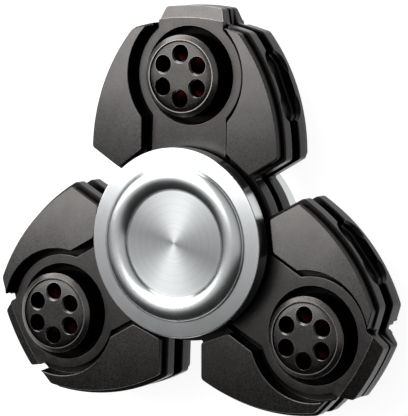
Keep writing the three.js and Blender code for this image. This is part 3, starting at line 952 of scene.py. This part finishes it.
@dataclass
class ArmPlates:
    """Cheek and spine plates that lie on both body halves."""

    gauge: Gauge
    lines: ArmLines
    finishes: Finishes
    cheek_bevel: float = 0.16
    cheek_foot_bevel: float = 0.08
    corner: float = 0.3
    crown_radius: float = 1200.0
    sheen_centre: float = 16.0
    sheen_radius: float = 110.0
    spine_sheen_radius: float = 130.0
    crown_foot: float = 0.4
    spine_bevel: float = 0.1
    hole_radius: float = 6.0
    hole_flare: float = 0.22
    tip_bevel: float = 1.5
    tip_step: float = 0.25
    tip_drop: float = 0.95
    tip_ease: float = 0.12
    tip_steps: int = 180
    slope_start: float = 27.9
    slope_rise: float = 0.8

    def build_cheek(self) -> Piece:
        """Model the right-hand cheek plate of the front's upward arm."""
        g = self.gauge
        outline, bevels = eased(self.lines.cheek(), self.corner), (self.cheek_bevel, self.cheek_foot_bevel)
        cheek = plate("cheek_model", outline, g.cheek_foot, g.cheek_top, *bevels)
        crown(cheek, self.lines.plug, self.crown_radius, g.cheek_foot + self.crown_foot)
        close_up(cheek)
        return cheek

    def build_spine(self) -> Piece:
        """Model the spine plate, with its plug hole and the sloping end of the lug."""
        g, face = self.gauge, self.gauge.body_face
        outline = eased(self.lines.spine(), self.corner)
        spine = plate("spine_model", outline, g.spine_foot, face, self.spine_bevel)
        radius, flare, above = self.hole_radius, self.hole_flare, face + OVERCUT
        wall = [(radius, g.spine_foot - OVERCUT), (radius, face - flare), (radius + flare + OVERCUT, above)]
        combine(spine, moved(turning("hole_tool", on_axis(wall)), g.to_plug), "DIFFERENCE")
        start, end = g.body_reach - self.tip_bevel, g.body_reach + OVERCUT
        slope = [
            (start, face - self.tip_step),
            (g.body_reach, face - self.tip_drop + self.tip_ease),
            (end, face - self.tip_drop - OVERCUT),
            (end, above),
            (start, above),
        ]
        combine(spine, turning("tip_tool", slope, self.tip_steps, ring=True), "DIFFERENCE")
        crown(spine, self.lines.plug, self.crown_radius, face - self.spine_bevel / 2)
        close_up(spine)
        return spine

    def is_slope(self, normal: Vector, middle: Vector) -> bool:
        """Test for a face of the lug's sloping end."""
        return self.slope_rise < abs(normal.z) < LEVEL and middle.xy.length > self.slope_start

    def is_hole_wall(self, normal: Vector, middle: Vector) -> bool:
        """Test for a face of the spine's hole."""
        reach = (middle.xy - self.lines.plug).length
        return upright(normal, middle) and reach < self.hole_radius + SLACK

    def lean(self, piece: Piece, side: Side, arm: int, radius: float, height: float) -> None:
        """Lean a plate's upper normals away from the middle of its own arm.

        Args:
            piece: A plate in its place.
            side: The side that it lies on.
            arm: The arm that it lies on.
            radius: Radius of the sheen's curve, mm.
            height: Height that the leaned faces start at on the front, mm.
        """
        whole = to_arm(arm) @ to_side(side)
        below = Vector((0, self.sheen_centre, self.gauge.cheek_top - radius))
        up = whole.to_3x3() @ Vector((0, 0, 1))
        lean_normals(piece, whole @ below, up, height)

    def build(self) -> None:
        """Model both plates and put a copy on every arm of both sides."""
        cheek, spine, looks, g = self.build_cheek(), self.build_spine(), self.finishes, self.gauge
        # Painted shade: the standing walls of both plates take the darker body colour and the spine's hole
        # wall a near-black one, as they lie in shade; painted highlight: the lug's sloping end takes a paler
        # colour.
        painted(cheek, (looks.cheek, everywhere), (looks.body, upright))
        painted(
            spine,
            (looks.spine, everywhere),
            (looks.body, upright),
            (looks.bore, self.is_hole_wall),
            (looks.lug, self.is_slope),
        )
        flip = {Hand.RIGHT: Matrix.Identity(4), Hand.LEFT: Matrix.Scale(-1, 4, (1, 0, 0))}
        spine_height, cheek_height = g.body_face - self.spine_bevel / 2, g.cheek_foot + self.crown_foot
        for side in Side:
            for arm in range(ARM_COUNT):
                label, place = f"{side.value}_arm{arm + 1}", to_place(side, arm)
                copy = placed(spine, f"{label}_spine_plate", *place)
                self.lean(copy, side, arm, self.spine_sheen_radius, spine_height)
                finished(copy, "rotor", "body_metal", f"{label}_spine")
                for hand in Hand:
                    copy = placed(cheek, f"{label}_cheek_plate_{hand.value}", flip[hand], *place)
                    self.lean(copy, side, arm, self.sheen_radius, cheek_height)
                    finished(copy, "rotor", "cheek_metal", f"{label}_cheek_{hand.value}")
        discard(cheek, spine)
        LOG.info("arm plates: six spines and twelve cheeks")


@dataclass
class BodyHalves:
    """The two machined halves that meet at the seam."""

    gauge: Gauge
    lines: ArmLines
    finishes: Finishes
    arm_seam: float = 1.0
    neck_seam: float = 0.7
    lug_seam: float = 0.25
    seam_depth: float = 1.2
    edge: float = 0.17
    foot_bevel: float = 0.08
    corner: float = 0.4
    overlap: float = 0.05
    channel_floor: float = 1.75
    moat_floor: float = 1.1
    moat_radius: float = 6.0
    seat_play: float = 0.1
    seat_rise: float = 0.05
    lip: float = 0.45
    slot_length: float = 9.4
    slot_height: float = 4.1
    slot_depth: float = 1.35
    slot_angle: float = math.radians(22)
    slot_flare: float = 0.4
    slot_floor_bevel: float = 0.3
    slot_end_steps: int = 16
    sink_steps: int = 48

    def build_blank(self) -> Piece:
        """Model the half before its seats are cut."""
        g, lines, lap = self.gauge, self.lines, self.overlap
        outline = eased(lines.rotor(0), self.corner)
        blank = plate("body_model", outline, self.arm_seam, g.body_face, self.edge, self.edge)
        # Each solid ends at a height of its own inside the blank, so that no two faces coincide.
        collar_top, web_top, lug_top = (self.arm_seam + layers * lap for layers in (3, 4, 5))
        combine(blank, plate("web", lines.rotor(self.seam_depth), g.body_foot, web_top), "UNION")
        hub = arc(ORIGIN, lines.hub_radius - lap / 2, 0, TURN)[:-1]
        combine(blank, plate("hub_collar", hub, self.neck_seam, collar_top, 0, self.foot_bevel), "UNION")
        foot = lines.shoulder - self.seam_depth - OVERCUT
        outline = eased(lines.lug(lap / 2, foot), self.corner)
        lug = plate("lug", outline, self.lug_seam, lug_top, 0, self.foot_bevel)
        for arm in range(ARM_COUNT):
            combine(blank, copied(lug, "lug_copy", to_arm(arm)), "UNION")
        discard(lug)
        return blank

    def slot_tool(self) -> Piece:
        """Tool for the long pocket in an arm's right flank, widened at the mouth of both ends."""
        end, mouth, quarter = self.slot_height / 2, self.lines.flank_radius, math.pi / 2
        straight = self.slot_length / 2 - end
        outline = [
            *arc(Vector((straight, 0)), end, -quarter, quarter, self.slot_end_steps),
            *arc(Vector((-straight, 0)), end, quarter, 3 * quarter, self.slot_end_steps),
        ]
        floor, sunk, clear = mouth - self.slot_depth, mouth - self.slot_flare, mouth + OVERCUT
        tool = plate("slot_tool", outline, floor, floor + self.slot_depth + OVERCUT, 0, self.slot_floor_bevel)
        sink = on_axis([(end, sunk), (end + self.slot_flare + OVERCUT, clear)])
        countersink = turning("countersink", sink, self.sink_steps)
        lean = math.asin(straight / mouth)
        for angle in (-lean, lean):
            combine(tool, copied(countersink, "countersink_copy", Matrix.Rotation(angle, 4, "Y")), "UNION")
        discard(countersink)
        turn = Matrix.Rotation(quarter + self.slot_angle, 4, "Z") @ Matrix.Rotation(quarter, 4, "X")
        return moved(tool, turn, Matrix.Translation(self.lines.flank.to_3d()))

    def stepped(self, lower: float, step: float, upper: float) -> Profile:
        """Profile of a bore right through a half, whose radius changes at a step's height."""
        top = self.gauge.body_face + OVERCUT
        return on_axis([(lower, -OVERCUT), (lower, step), (upper, step), (upper, top)])

    def cut_seats(self, blank: Piece) -> None:
        """Cut the bearing seat, channels, moats, sleeve bores and flank pockets."""
        g = self.gauge
        race, lip = g.race_outer + self.seat_play, g.race_outer - self.lip
        seat = self.stepped(race, g.race_half + self.seat_rise, lip)
        combine(blank, turning("seat_tool", seat), "DIFFERENCE")
        channel = plate("channel_tool", self.lines.channel(), self.channel_floor, g.body_face + OVERCUT)
        moat = self.stepped(g.sleeve_radius + self.seat_play, self.moat_floor, self.moat_radius)
        moat_tool = moved(turning("moat_tool", moat), g.to_plug)
        slot = self.slot_tool()
        far_slot = copied(slot, "far_slot_tool", Matrix.Rotation(math.pi, 4, "Y"))
        tools = (channel, moat_tool, slot, far_slot)
        for tool in tools:
            for arm in range(ARM_COUNT):
                combine(blank, copied(tool, "tool_copy", to_arm(arm)), "DIFFERENCE")
        discard(*tools)

    def in_moat(self, normal: Vector, middle: Vector) -> bool:
        """Test for a face of the moats under the plugs."""
        plugs = [(to_arm(arm) @ self.lines.plug.to_3d()).xy for arm in range(ARM_COUNT)]
        reach = min((middle.xy - plug).length for plug in plugs)
        low, high = self.moat_floor - SLACK, self.channel_floor - SLACK
        return reach < self.moat_radius + SLACK and low < middle.z < high

    def build(self) -> None:
        """Model one half and copy it to both sides."""
        model = self.build_blank()
        self.cut_seats(model)
        close_up(model)
        # Painted shade: the moats under the plugs take a near-black colour.
        painted(model, (self.finishes.body, everywhere), (self.finishes.bore, self.in_moat))
        for side in Side:
            copy = placed(model, f"{side.value}_body_half", to_side(side))
            finished(copy, "rotor", "body_metal", f"{side.value}_body")
        discard(model)
        LOG.info("body halves: two")


@dataclass
class Plugs:
    """Ring, six-hole grille and red sleeve in the middle of every arm."""

    gauge: Gauge
    finishes: Finishes
    ring_bore_play: float = 0.15
    ring_chamfer: float = 0.4
    ring_land: float = 0.08
    ring_seat_gap: float = 0.05
    edge: float = 0.1
    wall_rise: float = 0.3
    wall_slack: float = 0.1
    grille_dome: float = 0.25
    grille_crown: float = 1.7
    grille_edge: float = 0.12
    grille_edge_height: float = 0.1
    dome_steps: int = 8
    dome_power: float = 1.6
    hole_count: int = 6
    hole_radius: float = 0.98
    hole_circle: float = 2.89
    hole_flare: float = 0.24
    hole_drop: float = 0.14
    hole_steps: int = 40
    flare_ease: float = 0.35
    flare_rise: float = 0.92
    sleeve_wall: float = 0.65
    sleeve_web: float = 2.6

    def build_ring(self) -> Piece:
        """Turn the ring that frames the grille."""
        g = self.gauge
        bore = g.sleeve_radius + self.ring_bore_play
        seat, seat_floor = g.grille_radius + self.ring_bore_play, g.grille_seat - self.ring_seat_gap
        profile = [
            (bore, g.ring_foot),
            (g.ring_radius, g.ring_foot),
            (g.ring_radius, g.ring_top - self.ring_chamfer),
            (seat + self.ring_land, g.ring_top),
            (seat, g.ring_top),
            (seat, seat_floor),
            (bore, seat_floor),
        ]
        return turning("ring_model", rounded(profile, self.edge, (2, 3, 4)), ring=True)

    def build_grille(self) -> Piece:
        """Turn the domed grille and drill its six holes."""
        g = self.gauge
        rim, edge = g.plug_top - self.grille_dome, g.grille_radius - self.grille_edge
        dome = [(edge, rim)]
        for i in range(1, self.dome_steps + 1):
            radius = edge * (1 - i / self.dome_steps)
            fall = max(0.0, (radius - self.grille_crown) / (edge - self.grille_crown))
            dome.append((radius, g.plug_top - self.grille_dome * fall**self.dome_power))
        wall = [(g.grille_radius, g.grille_seat), (g.grille_radius, rim - self.grille_edge_height)]
        grille = turning("grille_model", [(0, g.grille_seat), *wall, *dome])
        mouth, flare, hole = g.plug_top - self.hole_drop, self.hole_flare, self.hole_radius
        ease = flare * self.flare_ease
        shank = [(hole, g.grille_seat - OVERCUT), (hole, mouth - flare)]
        cone = [(hole + ease, mouth - ease), (hole + flare + OVERCUT, mouth + OVERCUT)]
        drill = turning("drill", on_axis([*shank, *cone]), self.hole_steps)
        for i in range(self.hole_count):
            out = Matrix.Translation((0, self.hole_circle, 0))
            turn = Matrix.Rotation(i * TURN / self.hole_count, 4, "Z")
            combine(grille, copied(drill, "drill_copy", out, turn), "DIFFERENCE")
        discard(drill)
        close_up(grille)
        return grille

    def build_sleeve(self) -> Piece:
        """Turn the red sleeve that both rings clamp."""
        g = self.gauge
        bore, end, web = g.sleeve_radius - self.sleeve_wall, g.sleeve_end, self.sleeve_web
        half = rounded([(0, web), (bore, web), (bore, end), (g.sleeve_radius, end)], self.edge, (1, 2))
        below = [(radius, -height) for radius, height in half]
        return turning("sleeve_model", [*below, *reversed(half)])

    def is_hole_flare(self, normal: Vector, middle: Vector) -> bool:
        """Test for a face of the flare round a grille hole."""
        reach = self.hole_circle + self.hole_radius + self.hole_flare
        return STANDING < abs(normal.z) < self.flare_rise and middle.xy.length < reach

    def is_outer_wall(self, normal: Vector, middle: Vector) -> bool:
        """Test for a face of the ring's outer wall."""
        inner = self.gauge.ring_radius - self.wall_slack
        return abs(normal.z) < self.wall_rise and middle.xy.length > inner

    def build(self) -> None:
        """Model the three pieces and put copies in every arm."""
        ring, grille, sleeve = self.build_ring(), self.build_grille(), self.build_sleeve()
        models, looks = (ring, grille, sleeve), self.finishes
        for model in models:
            stamp_plan(model)
        # Painted shade: the ring's outer wall takes a near-black colour and the grille's standing walls, the
        # hole walls among them, the darker body colour; painted highlight: the flares round the grille holes
        # take a paler colour. The sleeve's darker red is partly painted shade.
        painted(ring, (looks.ring, everywhere), (looks.bore, self.is_outer_wall))
        painted(grille, (looks.grille, everywhere), (looks.body, upright), (looks.lug, self.is_hole_flare))
        painted(sleeve, (looks.red, everywhere))
        out = self.gauge.to_plug
        fronts = ((ring, "turned_ring", "plug_ring"), (grille, "drilled_grille", "grille"))
        for arm in range(ARM_COUNT):
            for side in Side:
                label = f"{side.value}_arm{arm + 1}"
                for model, name, node in fronts:
                    copy = placed(model, f"{label}_{name}", out, *to_place(side, arm))
                    finished(copy, "rotor", "ring_metal", f"{label}_{node}")
            copy = placed(sleeve, f"arm{arm + 1}_red_sleeve", out, to_arm(arm))
            finished(copy, "rotor", "sleeve_red", f"arm{arm + 1}_sleeve")
        discard(*models)
        LOG.info("plugs: rings, grilles and sleeves in three arms")


@dataclass
class FingerCaps:
    """The two turned caps that fingers hold."""

    gauge: Gauge
    finishes: Finishes
    underside: float = 3.65
    flange: float = 5.93
    flange_fall: float = 0.11
    edge: float = 0.2
    pad: float = 6.1
    pad_radius: float = 6.63
    bead_outer: float = 9.9
    bead_steps: int = 24
    bead_fullness: float = 0.9
    round_steps: int = 160
    stud_bore: float = 1.6
    stud_bore_end: float = 4.6
    stem_radius: float = 3.075
    stem_shoulder: float = 2.43
    shoulder_radius: float = 3.92

    def build_model(self) -> Piece:
        """Turn the front cap: stem, flange, half-round bead and flat pad."""
        g = self.gauge
        middle, half = (self.bead_outer + self.pad_radius) / 2, (self.bead_outer - self.pad_radius) / 2
        height = g.cap_top - self.flange
        bead = []
        for i in range(1, self.bead_steps):
            angle = math.pi * i / self.bead_steps
            radius, rise = middle + half * math.cos(angle), height * math.sin(angle) ** self.bead_fullness
            if radius > middle or self.flange + rise > self.pad:
                bead.append((radius, self.flange + rise))
        lower = [
            (self.stud_bore, self.stud_bore_end),
            (self.stud_bore, g.cap_stem_end),
            (self.stem_radius, g.cap_stem_end),
            (self.stem_radius, self.stem_shoulder),
            (self.shoulder_radius, self.stem_shoulder),
            (self.shoulder_radius, self.underside),
        ]
        flange = [
            (g.cap_radius, self.underside),
            (g.cap_radius, self.flange - self.flange_fall),
            (self.bead_outer, self.flange),
        ]
        profile = rounded([*lower, *flange], self.edge, (len(lower), len(lower) + 1))
        whole = on_axis([*profile, *bead, (self.pad_radius, self.pad)])
        return turning("cap_model", whole, self.round_steps)

    def is_pad(self, normal: Vector, middle: Vector) -> bool:
        """Test for a face of the flat pad."""
        raised = middle.z > self.pad - SLACK
        return abs(normal.z) > LEVEL and raised and middle.xy.length < self.pad_radius

    def build(self) -> None:
        """Model the cap and put one on each side."""
        model = self.build_model()
        stamp_plan(model)
        painted(model, (self.finishes.polished, everywhere), (self.finishes.pad, self.is_pad))
        for side in Side:
            copy = placed(model, f"{side.value}_finger_cap", to_side(side))
            finished(copy, "finger_caps", "cap_steel", f"{side.value}_cap")
        discard(model)
        LOG.info("finger caps: two")


@dataclass
class Bearing:
    """The open ball bearing, whose CAD nodes are kept and dressed."""

    finishes: Finishes
    ball_count: int = 10

    def dress(self) -> None:
        """Give the races, balls, stud and cage their metals."""
        steel = ["outer_race", "inner_race", "cap_stud", *[f"ball_{i + 1}" for i in range(self.ball_count)]]
        for name in steel:
            self.assign(name, self.finishes.bearing)
        self.assign("ball_cage", self.finishes.brass)
        LOG.info("bearing: races, cage and %d balls", self.ball_count)

    @staticmethod
    def assign(name: str, material: Material) -> None:
        """Put a material on a kept CAD node."""
        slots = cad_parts[name].data.materials
        slots.clear()
        slots.append(material)


@dataclass
class Studio:
    """White floor, a soft box over the upward arm, an edge box beyond it, a dim room and the camera."""

    floor_z: float
    floor_size: float = 12.0
    paper: str = "#a8a8a8"
    paper_glow: float = 0.9
    box_centre: tuple = (-0.165, 0.128, 0.206)
    box_width: float = 0.27
    box_depth: float = 0.25
    box_power: float = 0.6
    edge_centre: tuple = (-0.2, 0.4, 0.09)
    edge_width: float = 0.5
    edge_height: float = 0.2
    edge_power: float = 1.3
    room_dark: float = 0.02
    room_bright: float = 0.6
    room_behind: tuple = (-0.26, -0.17)
    room_above: tuple = (0.25, 0.85)
    lens: float = 258.54
    film_width: float = 36.0
    near: float = 0.01
    eye: tuple = (0.18293, 0.04493, 0.32661)
    look: tuple = ((0.8724, -0.0682, 0.4841), (0.0172, 0.9939, 0.1089), (-0.4886, -0.0866, 0.8682))

    def build_floor(self) -> None:
        """Lay the floor: pale, with the shadow kept, and white to the eye and in reflections."""
        take()
        bpy.ops.mesh.primitive_plane_add(size=self.floor_size, location=(0, 0, self.floor_z))
        floor = started("studio_floor")
        material = bpy.data.materials.new("matt_white_paper")
        tree = emptied(material)
        path = add_node(tree, "ShaderNodeLightPath").outputs
        seen = worked_out(tree, "ADD", path["Is Camera Ray"], path["Is Glossy Ray"])
        seen = worked_out(tree, "ADD", seen, path["Is Transmission Ray"])
        glow = add_node(tree, "ShaderNodeEmission", {"Color": WHITE, "Strength": self.paper_glow})
        dark = add_node(tree, "ShaderNodeEmission", {"Color": BLACK, "Strength": 0.0})
        veil = add_node(tree, "ShaderNodeMixShader", {0: seen, 1: dark.outputs[0], 2: glow.outputs[0]})
        paper = add_node(tree, "ShaderNodeBsdfDiffuse", {"Color": linear(self.paper)})
        both = add_node(tree, "ShaderNodeAddShader", {0: veil.outputs[0], 1: paper.outputs[0]})
        add_node(tree, "ShaderNodeOutputMaterial", {"Surface": both.outputs[0]})
        floor.data.materials.append(material)

    @staticmethod
    def hang(name: str, place: tuple, toward: Vector, width: float, height: float, power: float) -> None:
        """Hang a rectangular soft box.

        Args:
            name: Name of the lamp.
            place: Its middle, m.
            toward: Direction that it shines in.
            width: Its longer side, m.
            height: Its other side, m.
            power: Its power, W.
        """
        take()
        bpy.ops.object.light_add(type="AREA", location=place)
        lamp = started(name)
        lamp.rotation_euler = toward.to_track_quat("-Z", "Y").to_euler()
        lamp.data.shape = "RECTANGLE"
        lamp.data.size, lamp.data.size_y = width, height
        lamp.data.energy = power

    def build_lights(self) -> None:
        """Hang both boxes and light the room, bright overhead and towards the upward arm only."""
        down, inward = Vector((0, 0, -1)), -Vector(self.edge_centre)
        self.hang("soft_box", self.box_centre, down, self.box_width, self.box_depth, self.box_power)
        self.hang("edge_box", self.edge_centre, inward, self.edge_width, self.edge_height, self.edge_power)
        world = bpy.context.scene.world or bpy.data.worlds.new("room")
        bpy.context.scene.world = world
        tree = emptied(world)
        way = add_node(tree, "ShaderNodeTexCoord").outputs["Generated"]
        parts = add_node(tree, "ShaderNodeSeparateXYZ", {0: way}).outputs
        behind = mapped(tree, parts["Y"], self.room_behind, 0.0, 1.0)
        above = mapped(tree, parts["Z"], self.room_above, 0.0, 1.0)
        share = worked_out(tree, "MULTIPLY", behind, above)
        strength = mapped(tree, share, (0.0, 1.0), self.room_dark, self.room_bright)
        glow = add_node(tree, "ShaderNodeBackground", {"Color": WHITE, "Strength": strength})
        add_node(tree, "ShaderNodeOutputWorld", {"Surface": glow.outputs[0]})

    def build_camera(self) -> None:
        """Set up the camera, far off with a long lens."""
        take()
        bpy.ops.object.camera_add()
        camera = bpy.context.active_object
        camera.data.lens = self.lens
        camera.data.sensor_width = self.film_width
        camera.data.clip_start = self.near
        camera.matrix_world = Matrix.Translation(self.eye) @ Matrix(self.look).to_4x4()
        bpy.context.scene.camera = camera

    def build(self) -> None:
        """Build the whole studio."""
        self.build_camera()
        self.build_floor()
        self.build_lights()
        bpy.context.scene.view_settings.view_transform = "Standard"
        LOG.info("studio: floor, both boxes, room and camera")


def main() -> None:
    """Build the studio, then every sub-assembly round the frame."""
    logging.basicConfig(level=logging.INFO, format="%(name)s: %(message)s")
    gauge = Gauge()
    lines = ArmLines(gauge)
    finishes = Finishes()
    Studio(floor_z=CAD_BOX[0][2]).build()
    ArmPlates(gauge, lines, finishes).build()
    BodyHalves(gauge, lines, finishes).build()
    Plugs(gauge, finishes).build()
    FingerCaps(gauge, finishes).build()
    Bearing(finishes).dress()


if __name__ == "__main__":
    main()
